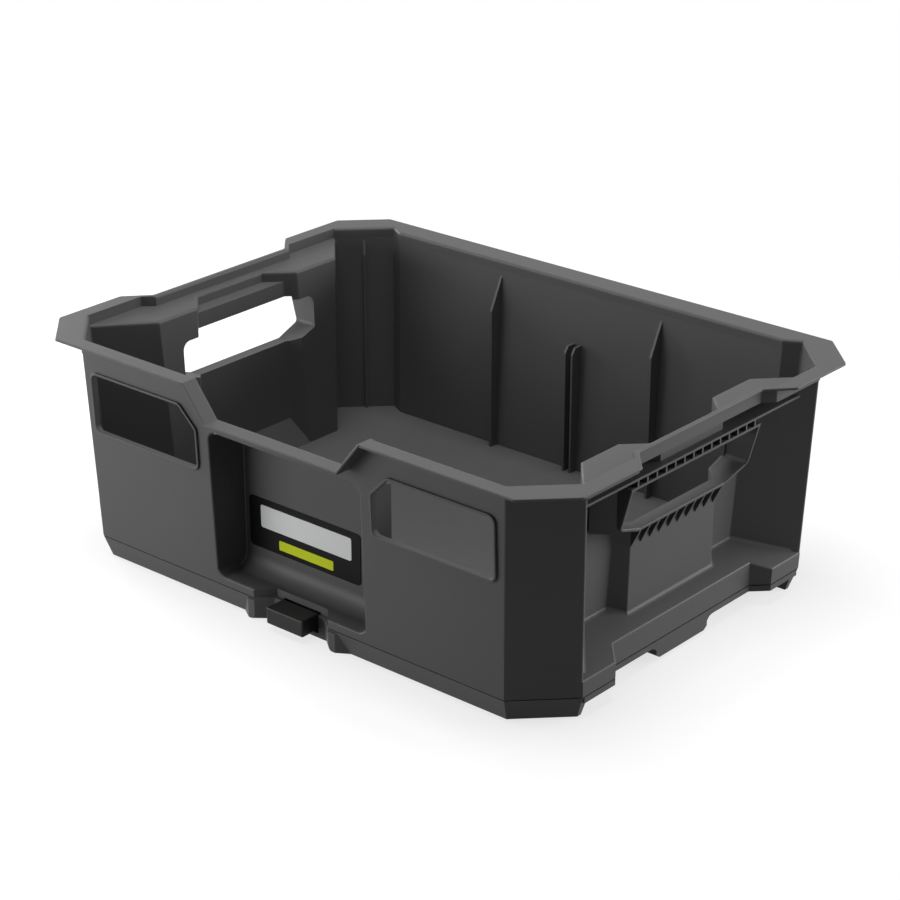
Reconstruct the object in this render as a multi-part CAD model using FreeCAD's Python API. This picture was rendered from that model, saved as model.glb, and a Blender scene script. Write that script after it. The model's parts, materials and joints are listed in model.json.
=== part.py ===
"""Stackable moulded tool crate: body, base frame, front release latch and label.

Millimetres, +Z up, +X along the length, the front faces -Y.
The origin is at the middle of the footprint, on the surface that the crate stands on.
"""
import FreeCAD, Part
import math
import os

from FreeCAD import Vector

# Overall size over the rim
LENGTH = 560.0
DEPTH = 414.0
HEIGHT = 199.0
WALL = 3.0

# Heights of the main levels
SEAM_Z = 20.0
FLOOR_Z = SEAM_Z + WALL
BLOCK_Z = 190.0

# Rounding of the moulding's edges
WALL_ROUND = 2.0
RIM_ROUND = 0.9
LIP_ROUND = 2.5
MOUTH_ROUND = 1.5

# Rim flange, with its corners cut and the middle of each end set in
RIM_T = 2.4
RIM_CHAMFER = 35.4
RIM_MID_X = 261.0
RIM_JOG_OUT_Y = 102.0
RIM_JOG_IN_Y = 81.0
LIP_MID_T = 5.0
LIP_MID_OVERHANG = 1.5

# Walls at the rim, and how much they lean in per millimetre of height
CORNER_X = 268.5
SIDE_Y = 194.5
BACK_Y = 186.0
BACK_STEP = 15.5
CORNER_CUT = 42.0
LEAN_X = 0.030
LEAN_Y = 0.040
LEAN_DEEP = 0.038

# End recesses: a deep wall, a slanted wall out to each corner and a shallow middle bulge
DEEP_X = 230.1
DEEP_Y = 106.0
END_SLANT = 1.21
BULGE_X = 238.4
LEAN_BULGE = 0.013
BULGE_DIAGONAL = 292.7
BLOCK_REAR_SLANT = 1.06
RAMP_TOP_Z = 48.0
RAMP_SHIFT = 3.4
RAMP_CORE_Z = 41.0

# Sill under each recess
SILL_MID_X = 250.2
SILL_MID_Y = 92.0
SILL_EDGE_Z = 34.0
SILL_SLOPE = 0.48
SILL_ROUND = 2.5

# Hand-hold in each end: grip bar, shelf over it and the tunnel behind it
GRIP_X = 258.3
GRIP_HALF = 77.5
GRIP_Z = 166.3
SHELF_Z = 175.3
SKIN = 2.0
CELLS = 13
CELL_BACK_X = 241.0
CELL_RIB = 1.7
SHELF_HALF = 141.0
SCOOP_X = 249.0
SCOOP_Z = 180.5
SCOOP_HALF = 39.5
HOLE_HALF = 82.0
HOLE_MID_HALF = 50.0
HOLE_Z = 123.4
HOLE_SHOULDER_Z = 132.0
HOLE_FLAT_HALF = 55.5
HOLE_END_TOP_Z = 163.0
HOLE_ROUND = 8.0
BEZEL_X = 246.5
BEZEL_ROUND = 1.0
TUNNEL_ROUND = 4.5
TEETH = 10
TEETH_HALF = 54.0
TOOTH_DROP = 17.0
TOOTH_T = 2.2

# Lowered middle of the front
DIP_Z = 170.0
DIP_LOW_HALF = 70.5
DIP_HIGH_HALF = 93.5

# Front niche for the label
NICHE_HALF = 82.0
NICHE_BACK_HALF = 78.2
NICHE_BACK_Y = -157.0
NICHE_TOP_Z = 156.5
NICHE_FLOOR_Z = 27.0
NICHE_CEILING_DROP = 11.0
NICHE_ROOF_ROUND = 6.0
NICHE_FLOOR_ROUND = 14.0
NICHE_ROUND = 9.0
NICHE_BACK_ROUND = 1.0

# Front windows, each with a bead that stands out round it
WINDOW_IN_X = 95.6
WINDOW_OUT_X = 215.2
WINDOW_LOW_Z = 119.8
WINDOW_TOP_Z = 171.3
WINDOW_CUT = 17.3
WINDOW_ROUND = 5.0
BEAD_W = 2.2
BEAD_H = 2.0
BEAD_ROUND = 0.7

# Ribs inside
BACK_RIB_X = 88.7
BACK_RIB_T = 2.4
RIB_TIP_Y = 168.0
BACK_RIB_SHOULDER_Z = 155.0
BACK_RIB_TOP_Z = 188.5
SLOT_RIB_X = 3.9
SLOT_RIB_T = 2.0
SLOT_TOP_Z = 142.0
SLOT_DEPTH = 9.0
CORNER_RIB_T = 2.2
CORNER_RIB_DEPTH = 7.0
CORNER_RIB_TOP_Z = 194.0
CORNER_RIB_TIP = 20.0

# Base frame: a plate, two rails that the crate stands on and a foot at each end
PLATE_T = 3.0
SEAM_GROOVE = 1.6
SEAM_GAP = 1.0
RAIL_LEAN = 7.0
RAIL_Y = 138.0
APRON_Z = 14.0
APRON_HALF = 143.0
FOOT_HALF = 34.0
FOOT_IN_X = 228.0
FOOT_Z = 3.0

# Planes that part the moulding into its floor, walls and rim
RIM_PART_Z = 186.0
SILL_PART_Z = 57.0
FRONT_PART_Y = -145.0
BACK_PART_Y = 167.0
END_PART_X = 218.0

# Notch and bay for the release latch
NOTCH_FRONT_HALF = 41.0
NOTCH_BACK_HALF = 28.0
NOTCH_Y = -177.0
NOTCH_TOP_Y = -173.5
JAW_HALF = 48.0
JAW_FOOT_HALF = 59.0
JAW_ROUND = 4.0
BAY_HALF = 36.0
BAY_Y = -119.0
BAY_WALL = 3.0
BUTTON_HALF = 20.0
BUTTON_FRONT_Y = -195.0
BUTTON_LOW_Z = 6.5
BUTTON_TOP_Z = 21.0
BUTTON_BACK_Y = -176.0
BUTTON_TRAVEL = 8.0
SLIDE_HALF = 24.0
SLIDE_FRONT_Y = -173.6
SLIDE_BACK_Y = -140.0
SLIDE_LOW_Z = 4.2
SLIDE_TOP_Z = 16.6
HOOK_HALF = 14.0
HOOK_FRONT_Y = -185.0
RUN_GAP = 0.35

# Return springs
SPRING_X = 12.0
SPRING_Z = 10.4
SPRING_R = 3.6
SPRING_WIRE_R = 0.55
SPRING_TURNS = 6
SPRING_SEAT = 4.0

# Latch cover and screws
COVER_Z = 0.7
COVER_T = 2.4
COVER_EDGE = 9.0
COVER_SCREW_R = 1.5
COVER_HEAD_R = 3.0
BASE_SCREW_X = 235.0
BASE_SCREW_Y = 76.0
BASE_SCREW_R = 2.0
BASE_HEAD_R = 4.0
BASE_HEAD_H = 2.6
BASE_SCREW_LENGTH = 18.0
BOSS_R = 5.0
BOSS_HEIGHT = 32.0
SCREW_GAP = 0.05

# Label plate
LABEL_LEFT_X = -73.0
LABEL_RIGHT_X = 49.5
LABEL_LOW_Z = 47.8
LABEL_TOP_Z = 92.7
LABEL_T = 0.6
LABEL_ROUND = 4.0

# Quarter round in three facets, as shares of its radius: across and down
ROUND_STEPS = [(0.0, 1.0), (0.134, 0.5), (0.5, 0.134), (1.0, 0.0)]

BIG = 400.0
OVER = 1.0


def wire(points):
    """Closed wire through points."""
    vectors = [Vector(*p) for p in points]
    return Part.makePolygon(vectors + [vectors[0]])


def prism(outline, low, high):
    """Upright solid over an (x, y) outline."""
    face = Part.Face(wire([(x, y, low) for x, y in outline]))
    return face.extrude(Vector(0, 0, high - low))


def tapered(low_outline, low, high_outline, high):
    """Solid with flat sides between two level outlines whose edges run parallel."""
    return between([(x, y, low) for x, y in low_outline], [(x, y, high) for x, y in high_outline])


def between(foot, head):
    """Solid with flat sides between two flat outlines whose edges run parallel, as (x, y, z) points."""
    faces = [Part.Face(wire(foot[::-1])), Part.Face(wire(head))]
    turned = foot[1:] + foot[:1], head[1:] + head[:1]
    for a, b, c, d in zip(foot, turned[0], turned[1], head):
        faces.append(Part.Face(wire([a, b, c, d])))
    shell = Part.makeShell(faces)
    shell.sewShape()
    return Part.makeSolid(shell)


def along_x(outline, x0, x1):
    """Solid of a (y, z) outline, drawn out along X."""
    face = Part.Face(wire([(x0, y, z) for y, z in outline]))
    return face.extrude(Vector(x1 - x0, 0, 0))


def along_y(outline, y0, y1):
    """Solid of an (x, z) outline, drawn out along Y."""
    face = Part.Face(wire([(x, y0, z) for x, z in outline]))
    return face.extrude(Vector(0, y1 - y0, 0))


def box(x0, x1, y0, y1, z0, z1):
    """Box between two corners."""
    return Part.makeBox(x1 - x0, y1 - y0, z1 - z0, Vector(x0, y0, z0))


def edges_along(shape, axis):
    """Straight edges of a shape that run along an axis."""
    def runs(edge):
        step = edge.Vertexes[-1].Point - edge.Vertexes[0].Point
        return step.Length > 0 and abs(step.normalize().dot(axis)) > 0.999
    return [e for e in shape.Edges if runs(e)]


def upright_edges(shape):
    """Edges that run from the foot of a solid to its head."""
    return [e for e in shape.Edges if e.BoundBox.ZLength > shape.BoundBox.ZLength * 0.9]


def edges_at(shape, z):
    """Edges that lie level at a height."""
    return [e for e in shape.Edges if e.BoundBox.ZLength < 0.01 and abs(e.BoundBox.ZMin - z) < 0.01]


def rounded_along_y(outline, y0, y1, radius):
    """Solid of an (x, z) outline along Y, with its corners rounded."""
    solid = along_y(outline, y0, y1)
    return solid.makeFillet(radius, edges_along(solid, Vector(0, 1, 0)))


def inset(outline, gap):
    """Outline moved in by a gap, for an outline that runs anticlockwise."""
    moved = []
    for here, after in zip(outline, outline[1:] + outline[:1]):
        length = math.hypot(after[0] - here[0], after[1] - here[1])
        along = ((after[0] - here[0]) / length, (after[1] - here[1]) / length)
        moved.append(((here[0] - along[1] * gap, here[1] + along[0] * gap), along))
    corners = []
    for (p, u), (q, v) in zip(moved[-1:] + moved[:-1], moved):
        cross = u[0] * v[1] - u[1] * v[0]
        t = ((q[0] - p[0]) * v[1] - (q[1] - p[1]) * v[0]) / cross
        corners.append((p[0] + u[0] * t, p[1] + u[1] * t))
    return corners


def both_sides(right):
    """Full outline from its right half, which runs from the front to the back."""
    return right + [(-x, y) for x, y in reversed(right)]


def mirrored(shape):
    """The shape and its mirror image at the other end, as one."""
    return shape.fuse(shape.mirror(Vector(0, 0, 0), Vector(1, 0, 0)))


def leaning(at_rim, lean, z):
    """Distance from the middle, at a height, of a wall that leans in below the rim."""
    return at_rim - lean * (HEIGHT - z)


def corner_points(z):
    """The two ends of the cut corner at a height, in the front right quarter."""
    x = leaning(CORNER_X, LEAN_X, z)
    y = leaning(SIDE_Y, LEAN_Y, z)
    return (x - CORNER_CUT, -y), (x, CORNER_CUT - y)


def flip(points):
    """Front points turned into back points, in running order."""
    return [(x, -y) for x, y in reversed(points)]


def back_point(z):
    """Where the back wall steps in behind a corner."""
    return corner_points(z)[0][0] - BACK_STEP, leaning(BACK_Y, LEAN_Y, z)


def wall_outline(z):
    """Outside of the walls at a height, through both end recesses."""
    deep = leaning(DEEP_X, LEAN_DEEP, z)
    bulge = leaning(BULGE_X, LEAN_BULGE, z)
    front = list(corner_points(z))
    front.append((deep, front[1][1] + END_SLANT * (front[1][0] - deep)))
    front.append((deep, deep - BULGE_DIAGONAL))
    front.append((bulge, bulge - BULGE_DIAGONAL))
    return both_sides(front + flip(front) + [back_point(z)])


def room_outline(z, gap):
    """Inside of the walls at a height, moved in by a gap, with the rear end blocks a little longer."""
    outline = inset(wall_outline(z), gap)
    right, end = outline[7:9]
    y = end[1] - BLOCK_REAR_SLANT * (end[0] - right[0])
    outline[7], outline[14] = (right[0], y), (-right[0], y)
    return outline


def lip_outline(mid_x, z):
    """Outside of the stacking lip, over the walls at a height, set in at the middle of each end."""
    corner = list(corner_points(z))
    step = corner[1][0] - mid_x
    front = corner + [(corner[1][0], -RIM_JOG_IN_Y - step), (mid_x, -RIM_JOG_IN_Y)]
    return both_sides(front + flip(front) + [back_point(z)])


def lip_inside(gap):
    """Inside of the stacking lip, moved in by a gap."""
    return inset(lip_outline(RIM_MID_X - LIP_MID_T + WALL, BLOCK_Z), WALL + gap)


def rim_outline():
    """Outside of the rim flange."""
    x, y = LENGTH / 2, DEPTH / 2
    front = [(x - RIM_CHAMFER, -y), (x, RIM_CHAMFER - y)]
    front += [(x, -RIM_JOG_OUT_Y), (RIM_MID_X, -RIM_JOG_IN_Y)]
    return both_sides(front + flip(front))


def sill_outline(z):
    """Outside of the foot of the walls, with the sills set in at the ends."""
    corner = list(corner_points(z))
    jog_y = SILL_MID_Y + corner[1][0] - SILL_MID_X
    front = corner + [(corner[1][0], -jog_y), (SILL_MID_X, -SILL_MID_Y)]
    return both_sides(front + flip(front) + [back_point(z)])


def below_sill_slope(drop):
    """Space under both sloped sills, lowered by a drop."""
    inner_z = slope_z(0) - drop
    half = [(0, 0), (LENGTH, 0), (LENGTH, inner_z - SILL_SLOPE * LENGTH), (0, inner_z)]
    return mirrored(along_y(half, -BIG, BIG))


def slope_z(x):
    """Height of the sloped sills at a distance from the middle."""
    return SILL_EDGE_Z + SILL_SLOPE * (corner_points(SEAM_Z)[1][0] - abs(x))


def slope_edges(shape):
    """Outer edges of both sloped sills."""
    def found(edge):
        return all(abs(v.Point.z - slope_z(v.Point.x)) < 0.02 for v in edge.Vertexes)
    return [e for e in shape.Edges if found(e) and abs(e.CenterOfMass.x) > SILL_MID_X - OVER]


def sill_ledge():
    """Sloped ledge and skirt under each end recess, open below."""
    top = FLOOR_Z + 40
    full = tapered(sill_outline(SEAM_Z), SEAM_Z, sill_outline(top), top)
    hollow_low = inset(sill_outline(SEAM_Z), WALL)
    hollow = tapered(hollow_low, SEAM_Z - OVER, inset(sill_outline(top), WALL), top)
    walls = tapered(wall_outline(SEAM_Z), SEAM_Z - OVER, wall_outline(top), top)
    ledge = full.common(below_sill_slope(0))
    ledge = ledge.makeFillet(WALL_ROUND, slope_edges(ledge))
    return ledge.cut(hollow.common(below_sill_slope(WALL * 1.1)).cut(walls))


def recess_outline(out):
    """Right end recess just over the sill, moved out from its walls, and closed inside the crate."""
    level = (slope_z(DEEP_X) + slope_z(SILL_MID_X)) / 2
    points = wall_outline(level)[1:9]
    rear = END_PART_X - WALL
    wide = corner_points(level)[1][0]
    outline = inset([(rear, points[0][1])] + points + [(rear, points[-1][1])], -out)
    slant = (outline[2][1] - outline[1][1]) / (outline[1][0] - outline[2][0])
    end_y = outline[2][1] - slant * (wide - 2 * SILL_ROUND - outline[2][0])
    end = [(rear, end_y), (wide - 2 * SILL_ROUND, end_y)]
    return end + outline[2:8] + flip(end)


def sill_rounds():
    """Concave rounding along the foot of both end recesses, in three facets."""
    steps = [(1.0, 0.0), (0.5, 0.134), (0.134, 0.5), (-0.1, 1.0)]
    rounds = []
    for (out_0, up_0), (out_1, up_1) in zip(steps, steps[1:]):
        foot = [(x, y, slope_z(x) + up_0 * SILL_ROUND) for x, y in recess_outline(out_0 * SILL_ROUND)]
        head = [(x, y, slope_z(x) + up_1 * SILL_ROUND) for x, y in recess_outline(out_1 * SILL_ROUND)]
        rounds.append(mirrored(between(foot, head)))
    return rounds


def screw_bosses():
    """Posts under the sills that take the base screws, with their holes."""
    posts, holes = [], []
    for x in (-BASE_SCREW_X, BASE_SCREW_X):
        for y in (-BASE_SCREW_Y, BASE_SCREW_Y):
            foot = Vector(x, y, SEAM_Z)
            posts.append(Part.makeCylinder(BOSS_R, BOSS_HEIGHT, foot))
            holes.append(Part.makeCylinder(BASE_SCREW_R + SCREW_GAP, BASE_SCREW_LENGTH, foot))
    return posts, holes


def wall_d_outline(diagonal, x):
    """Wedge outline that narrows from the deep wall to the scooped middle."""
    start = DEEP_X - WALL * 2
    return [(start, start - diagonal), (x, x - diagonal), (x, diagonal - x), (start, diagonal - start)]


def grip_bar():
    """Shelf and grip bar of the right end, with a row of open cells in its face."""
    rear = DEEP_X - WALL
    shelf = prism([(rear, -DEEP_Y), (GRIP_X, -SHELF_HALF), (GRIP_X, SHELF_HALF), (rear, DEEP_Y)],
                  SHELF_Z - SKIN, SHELF_Z)
    bar = box(rear, GRIP_X, -GRIP_HALF, GRIP_HALF, GRIP_Z, SHELF_Z)
    pitch = (2 * GRIP_HALF - CELL_RIB) / CELLS
    first = -GRIP_HALF + CELL_RIB
    cells = [box(CELL_BACK_X, GRIP_X + OVER, first + i * pitch, first + (i + 1) * pitch - CELL_RIB,
                 GRIP_Z + SKIN, SHELF_Z - SKIN) for i in range(CELLS)]
    riser = prism(wall_d_outline(BULGE_DIAGONAL, SCOOP_X + WALL), GRIP_Z, BLOCK_Z)
    return shelf.fuse([bar.cut(Part.makeCompound(cells)), riser])


def hole_outline(half, top_z, grow):
    """Hand-hold outline with raised lower corners, in (y, z)."""
    flat = HOLE_FLAT_HALF + grow * 0.5
    low = HOLE_Z - grow
    side = half + grow
    shoulder = HOLE_SHOULDER_Z - grow * 0.4
    right = [(flat, low), (side, shoulder), (side, top_z)]
    return [(-y, z) for y, z in reversed(right)] + right


def lower_corners(solid):
    """Lower corners of a hand-hold shape, as edges along X."""
    return [e for e in edges_along(solid, Vector(1, 0, 0)) if e.CenterOfMass.z < GRIP_Z - 5]


def tunnel(start_x):
    """Space through the frame of the right hand-hold."""
    solid = along_x(hole_outline(HOLE_HALF, GRIP_Z, 0), start_x, BIG)
    return solid.makeFillet(TUNNEL_ROUND, lower_corners(solid))


def rake_x(z):
    """Where the raked lip of the right hand-hold is at a height."""
    return BEZEL_X + (GRIP_X - BEZEL_X) / (GRIP_Z - HOLE_Z) * (z - HOLE_Z)


def rake_edges(shape):
    """Edges of the raked lip, up to the grip bar."""
    def found(edge):
        return all(abs(v.Point.x - rake_x(v.Point.z)) < 0.02 for v in edge.Vertexes)
    return [e for e in shape.Edges if found(e) and e.CenterOfMass.z < GRIP_Z - 0.5]


def tunnel_frame():
    """Frame of the right hand-hold, from the deep wall out to a raked lip with rounded edges."""
    frame = along_x(hole_outline(HOLE_HALF, GRIP_Z + SKIN, WALL), DEEP_X - WALL, GRIP_X)
    frame = frame.makeFillet(TUNNEL_ROUND + WALL / 2, lower_corners(frame))
    low, high = HOLE_Z - 20, GRIP_Z + 20
    beyond = [(rake_x(low), low), (BIG, low), (BIG, high), (rake_x(high), high)]
    lip = frame.cut([tunnel(DEEP_X - 5 * WALL), along_y(beyond, -BIG, BIG)])
    lip = lip.makeFillet(BEZEL_ROUND, rake_edges(lip))
    gussets = []
    for s in (-1, 1):
        side = s * (HOLE_HALF + WALL - OVER)
        plan = [(DEEP_X - WALL, side), (BEZEL_X, side), (DEEP_X - OVER, side + s * 14)]
        gussets.append(prism(plan, HOLE_SHOULDER_Z - 4, GRIP_Z))
    return lip.fuse(gussets).cut(along_y(beyond, -BIG, BIG))


def sill_teeth():
    """Row of thin three-cornered ribs under the lip of the right hand-hold."""
    rear, top = BULGE_X - WALL, HOLE_Z - WALL + OVER
    profile = [(rear, top), (rear, top - TOOTH_DROP), (BULGE_X - OVER, top - TOOTH_DROP),
               (BEZEL_X - OVER, top - OVER), (BEZEL_X - OVER, top)]
    teeth = []
    for i in range(TEETH):
        y = -TEETH_HALF + 2 * TEETH_HALF * i / (TEETH - 1)
        teeth.append(along_y(profile, y - TOOTH_T / 2, y + TOOTH_T / 2))
    return teeth


def hand_hold_cut():
    """Space cut right through the wall for the right hand-hold."""
    start = DEEP_X - 5 * WALL
    end = BULGE_X + WALL
    wall_hole = along_x(hole_outline(HOLE_HALF - OVER, HOLE_END_TOP_Z, 0), start, DEEP_X + OVER)
    sides = edges_along(wall_hole, Vector(1, 0, 0))
    top = [e for e in sides if e.BoundBox.ZMin > HOLE_END_TOP_Z - OVER]
    wall_hole = wall_hole.makeFillet(HOLE_ROUND, top)
    middle = box(start, end, -HOLE_MID_HALF, HOLE_MID_HALF, HOLE_SHOULDER_Z, GRIP_Z)
    foot = box(start, end, -HOLE_FLAT_HALF, HOLE_FLAT_HALF, HOLE_Z, GRIP_Z - OVER * 8)
    return wall_hole.fuse([tunnel(DEEP_X), middle, foot])


def niche(grow):
    """Label niche in the front, grown by a wall thickness for its outside."""
    half = NICHE_HALF + grow
    back = NICHE_BACK_Y + grow
    floor = NICHE_FLOOR_Z if grow == 0 else SEAM_Z
    mouth = -leaning(SIDE_Y, LEAN_Y, NICHE_TOP_Z)
    front = -DEPTH / 2 if grow == 0 else mouth + WALL / 2
    slope = NICHE_CEILING_DROP / (NICHE_BACK_Y - mouth)
    top = NICHE_TOP_Z + grow * math.hypot(1, slope)
    profile = [(front, floor), (back, floor), (back, top - slope * (back - mouth)),
               (front, top - slope * (front - mouth))]
    solid = along_x(profile, -BIG, BIG)
    low, high = sorted(rear_edges(solid, back), key=lambda e: e.CenterOfMass.z)
    solid = solid.makeFillet(NICHE_ROOF_ROUND - WALL + grow, [high])
    if grow == 0:
        low = min(rear_edges(solid, back), key=lambda e: e.CenterOfMass.z)
        solid = solid.makeFillet(NICHE_FLOOR_ROUND, [low])
    draw = (NICHE_HALF - NICHE_BACK_HALF) / (NICHE_BACK_Y - mouth)
    wide, narrow = half + draw * (mouth - front), half - draw * (back - mouth)
    plan = [(-wide, front), (wide, front), (narrow, back), (-narrow, back)]
    solid = solid.common(prism(plan, 0, HEIGHT))
    solid = solid.makeFillet(NICHE_BACK_ROUND + grow / 2, edges_along(solid, Vector(0, 0, 1)))
    if grow:
        return solid
    frame = [(-half, floor), (half, floor), (half, NICHE_TOP_Z), (-half, NICHE_TOP_Z)]
    return solid.common(rounded_along_y(frame, -BIG, 0, NICHE_ROUND))


def rear_edges(solid, back):
    """Edges along X of a solid's flat rear."""
    return [e for e in edges_along(solid, Vector(1, 0, 0)) if e.CenterOfMass.y > back - 0.01]


def window(grow, front, depth):
    """Space of the right front window, upright, from before the wall's face to behind it."""
    x0, x1 = WINDOW_IN_X - grow, WINDOW_OUT_X + grow
    z0, z1 = WINDOW_LOW_Z - grow, WINDOW_TOP_Z + grow
    cut = WINDOW_CUT + grow * 0.586
    outline = [(x0, z0), (x1, z0), (x1, z1), (x0 + cut, z1), (x0, z1 - cut)]
    face = -leaning(SIDE_Y, LEAN_Y, WINDOW_LOW_Z)
    return rounded_along_y(outline, face - front, face + depth, WINDOW_ROUND + grow)


def window_bead():
    """Bead round the right front window, with rounded front edges."""
    ring = window(BEAD_W, BEAD_H, WALL / 2).cut(window(0, BIG, BIG))
    front = ring.BoundBox.YMin
    return ring.makeFillet(BEAD_ROUND, [e for e in ring.Edges if e.BoundBox.YMax < front + 0.01])


def front_pair(shape):
    """The shape leaned with the front wall, and its mirror image."""
    foot = Vector(0, -leaning(SIDE_Y, LEAN_Y, WINDOW_LOW_Z), WINDOW_LOW_Z)
    leaned = shape.copy()
    leaned.rotate(foot, Vector(1, 0, 0), math.degrees(math.atan(LEAN_Y)))
    return mirrored(leaned)


def dip_profile(drop):
    """Top line of the lowered front, dropped square to itself, in (x, z)."""
    run, rise = DIP_HIGH_HALF - DIP_LOW_HALF, HEIGHT - DIP_Z
    length = math.hypot(run, rise)
    side_drop = drop * (length - run) / rise
    slide_drop = drop * length / rise
    right = [(DIP_LOW_HALF + side_drop, DIP_Z - drop), (DIP_HIGH_HALF + slide_drop, HEIGHT)]
    return [(-x, z) for x, z in reversed(right)] + right


def dip_cut():
    """Space over the lowered front, down to the underside of its flange."""
    low = dip_profile(RIM_T)
    top = HEIGHT + OVER
    return along_y([(low[0][0], top)] + low + [(low[-1][0], top)], -BIG, -SIDE_Y + 20)


def dip_section(y, top, low):
    """Cut through the lowered flange, between two drops from its top line."""
    return [(x, y, z) for x, z in dip_profile(top) + list(reversed(dip_profile(low)))]


def dip_flange():
    """Rim flange that follows the lowered front, with its edges rounded."""
    front, rear = -DEPTH / 2, -leaning(SIDE_Y, LEAN_Y, BLOCK_Z) + WALL
    inner = RIM_T - 0.2
    cuts = [(front + a * RIM_ROUND, b * RIM_ROUND, RIM_T - b * RIM_ROUND) for a, b in ROUND_STEPS]
    cuts += [(rear - a * LIP_ROUND, b * inner, RIM_T) for a, b in reversed(ROUND_STEPS)]
    slices = [between(dip_section(*s), dip_section(*t)) for s, t in zip(cuts, cuts[1:])]
    return slices[0].fuse(slices[1:])


def upright_rib(outline, x, thickness):
    """Rib of a (y, z) outline, centred at a distance along the crate."""
    return along_x(outline, x - thickness / 2, x + thickness / 2)


def back_ribs():
    """Fins and the divider slot on the back wall, with the slot's mate on the niche."""
    top_y = leaning(BACK_Y, LEAN_Y, BACK_RIB_TOP_Z) - WALL / 2
    low_y = leaning(BACK_Y, LEAN_Y, FLOOR_Z) - WALL / 2
    fin = [(top_y, BACK_RIB_TOP_Z), (RIB_TIP_Y, BACK_RIB_SHOULDER_Z), (RIB_TIP_Y, SEAM_Z), (low_y, SEAM_Z)]
    ribs = [upright_rib(fin, s * BACK_RIB_X, BACK_RIB_T) for s in (-1, 1)]
    slot_y = leaning(BACK_Y, LEAN_Y, SLOT_TOP_Z) - WALL / 2
    slot = [(slot_y, SLOT_TOP_Z), (RIB_TIP_Y + 4, SLOT_TOP_Z), (RIB_TIP_Y, SLOT_TOP_Z - 6),
            (RIB_TIP_Y, SEAM_Z), (low_y, SEAM_Z)]
    face = NICHE_BACK_Y + WALL / 2
    mate = [(face, NICHE_TOP_Z - 30), (face + SLOT_DEPTH, NICHE_TOP_Z - 36),
            (face + SLOT_DEPTH, SEAM_Z), (face, SEAM_Z)]
    for s in (-1, 1):
        ribs += [upright_rib(outline, s * SLOT_RIB_X, SLOT_RIB_T) for outline in (slot, mate)]
    return ribs


def corner_ribs():
    """One upright rib in each corner, square to the cut corner."""
    ribs = []
    (x0, y0), (x1, y1) = corner_points(CORNER_RIB_TOP_Z)
    (u0, v0), (u1, v1) = corner_points(SEAM_Z)
    root = WALL / 2
    high = math.hypot((x0 + x1) / 2, (y0 + y1) / 2)
    low = math.hypot((u0 + u1) / 2, (v0 + v1) / 2)
    profile = [(high - root, CORNER_RIB_TOP_Z), (high - CORNER_RIB_DEPTH, CORNER_RIB_TOP_Z - CORNER_RIB_TIP),
               (low - CORNER_RIB_DEPTH, SEAM_Z), (low - root, SEAM_Z)]
    for sx in (-1, 1):
        for sy in (-1, 1):
            middle = Vector(sx * (x0 + x1) / 2, sy * -(y0 + y1) / 2, 0)
            rib = along_y([(r - high, z) for r, z in profile], -CORNER_RIB_T / 2, CORNER_RIB_T / 2)
            rib.rotate(Vector(0, 0, 0), Vector(0, 0, 1), math.degrees(math.atan2(sy, sx)))
            rib.translate(middle)
            ribs.append(rib)
    return ribs


def notch_outline(rear, out):
    """Flared notch for the release button, open at the front, with its sides moved out."""
    front = -DEPTH / 2
    flare = (NOTCH_FRONT_HALF - NOTCH_BACK_HALF) / (rear + leaning(SIDE_Y, LEAN_Y, SEAM_Z))
    wide, narrow = NOTCH_BACK_HALF + flare * (rear - front) + out, NOTCH_BACK_HALF + out
    return [(-wide, front), (wide, front), (narrow, rear), (-narrow, rear)]


def notch(rear, low, high):
    """The notch between two heights."""
    return prism(notch_outline(rear, 0), low, high)


def jaw_rounds():
    """Rounding of the foot of both sides of the notch, in three facets."""
    rounds = []
    for (out_0, up_0), (out_1, up_1) in zip(ROUND_STEPS[::-1], ROUND_STEPS[-2::-1]):
        foot = notch_outline(NOTCH_Y, out_0 * JAW_ROUND)
        head = notch_outline(NOTCH_Y, out_1 * JAW_ROUND)
        rounds.append(tapered(foot, up_0 * JAW_ROUND, head, up_1 * JAW_ROUND))
    return rounds


def button_way(low, high):
    """Room that the button's block slides back into, behind the notch."""
    half = BUTTON_HALF + RUN_GAP
    return box(-half, half, NOTCH_Y - OVER, BUTTON_BACK_Y + BUTTON_TRAVEL + RUN_GAP, low, high)


def rim_flange():
    """Flat flange round the top, with its edges rounded."""
    flange = prism(rim_outline(), HEIGHT - RIM_T, HEIGHT)
    flange = flange.makeFillet(2 * WALL_ROUND, upright_edges(flange))
    return flange.makeFillet(RIM_ROUND, edges_at(flange, HEIGHT) + edges_at(flange, HEIGHT - RIM_T))


def wall_block():
    """The walls filled solid, up to the tops of the end blocks."""
    solid = tapered(wall_outline(SEAM_Z), SEAM_Z, wall_outline(BLOCK_Z), BLOCK_Z)
    return solid.makeFillet(WALL_ROUND, upright_edges(solid))


def lip_block():
    """The stacking lip and the tops of the end blocks, filled solid."""
    solid = prism(lip_outline(RIM_MID_X - LIP_MID_OVERHANG, HEIGHT), BLOCK_Z - WALL, HEIGHT)
    return solid.makeFillet(WALL_ROUND, upright_edges(solid))


def ramp_line():
    """The foot and the top of the sloped wall under the right end's bulge, as X and Z."""
    foot = leaning(DEEP_X, LEAN_DEEP, FLOOR_Z) - WALL
    top = leaning(BULGE_X, LEAN_BULGE, RAMP_TOP_Z) - WALL
    return (foot, FLOOR_Z), (top, RAMP_TOP_Z)


def end_ramp():
    """Slope that fills the foot of the right end's bulge, seen from inside."""
    foot, top = ramp_line()
    wedge = [foot, (foot[0], SEAM_Z), (top[0] + OVER, SEAM_Z), (top[0] + OVER, top[1])]
    return along_y(wedge + [top], -SILL_MID_Y, SILL_MID_Y)


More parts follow.
